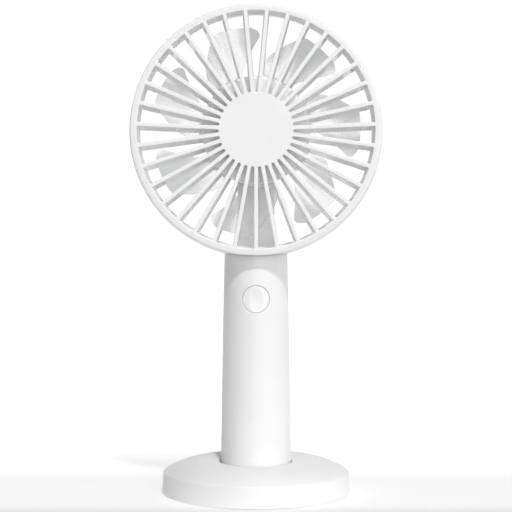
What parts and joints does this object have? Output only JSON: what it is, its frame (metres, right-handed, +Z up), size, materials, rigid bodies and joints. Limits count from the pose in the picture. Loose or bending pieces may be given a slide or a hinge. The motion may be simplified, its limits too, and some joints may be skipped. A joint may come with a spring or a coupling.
{
  "type": "handheld electric fan",
  "caption": "Handheld fan with a round guarded head and swept-blade impeller on a tapered round handle with a push button, standing in a round desk base.",
  "frame": {"origin": "centre of the base's underside, on the surface it stands on", "axes": "+Z up along the handle, the air leaves towards -Y, +X to the right of someone facing the grille"},
  "size_m": [0.107, 0.0794, 0.2065],
  "materials": {
    "white_shell": "fine satin moulded plastic",
    "grille_white": "satin moulded plastic",
    "button_white": "satin moulded plastic",
    "blade_white": "milky moulded plastic",
    "inner_grey": "as moulded",
    "pad_grey": "closed-cell foam rubber",
    "zinc_screw": "zinc plated",
    "ballast_iron": "as cast, oiled",
    "shaft_steel": "ground",
    "yoke_steel": "pressed, zinc plated",
    "core_steel": "laminated sheet, varnished",
    "magnet_black": "bonded ferrite",
    "tube_brass": "turned",
    "bearing_steel": "polished",
    "winding_copper": "enamelled wire",
    "board_green": "solder resist",
    "chip_black": "moulded epoxy",
    "inductor_grey": "ferrite block",
    "capacitor_tan": "ceramic",
    "socket_steel": "nickel plated",
    "cell_blue": "shrink sleeve",
    "tab_nickel": "nickel strip",
    "lead_red": "wire insulation"
  },
  "bodies": {
    "base": {"base_cover": "white_shell", "base_plate": "white_shell", "base_weight": "ballast_iron", "foot_pad": "pad_grey", "base_screws": "zinc_screw"},
    "fan": {"handle_shell": "white_shell", "handle_end_cap": "white_shell", "end_cap_screws": "zinc_screw", "battery_carrier": "inner_grey", "battery_cell": "cell_blue", "positive_tab": "tab_nickel", "negative_tab": "tab_nickel", "control_board": "board_green", "control_chip": "chip_black", "power_inductor": "inductor_grey", "board_capacitors": "capacitor_tan", "switch_body": "chip_black", "charge_board": "board_green", "charge_socket": "socket_steel", "socket_tongue": "chip_black", "front_grille": "grille_white", "rear_housing": "white_shell", "neck_screws": "zinc_screw", "motor_cover": "white_shell", "duct_cover": "white_shell", "bearing_tube": "tube_brass", "front_bearing": "bearing_steel", "rear_bearing": "bearing_steel", "stator_core": "core_steel", "stator_coils": "winding_copper", "motor_board": "board_green", "driver_chip": "chip_black", "motor_leads": "lead_red"},
    "rotor": {"impeller": "blade_white", "rotor_cup": "yoke_steel", "magnet_ring": "magnet_black", "rotor_shaft": "shaft_steel", "shaft_clip": "shaft_steel"},
    "button": {"button_cap": "button_white", "switch_plunger": "chip_black"}
  },
  "joints": [
    {"name": "lift_off", "type": "slide", "parent": "base", "child": "fan", "axis": [0, 0, 1], "range_m": [0, 0.04]},
    {"name": "impeller_spin", "type": "hinge", "parent": "fan", "child": "rotor", "pos_m": [0, 0, 0.153], "axis": [0, -1, 0], "continuous": true},
    {"name": "button_press", "type": "slide", "parent": "fan", "child": "button", "axis": [0, 1, 0], "range_m": [0, 0.0005], "stiffness_N_per_m": 300, "springref_m": -0.001}
  ]
}
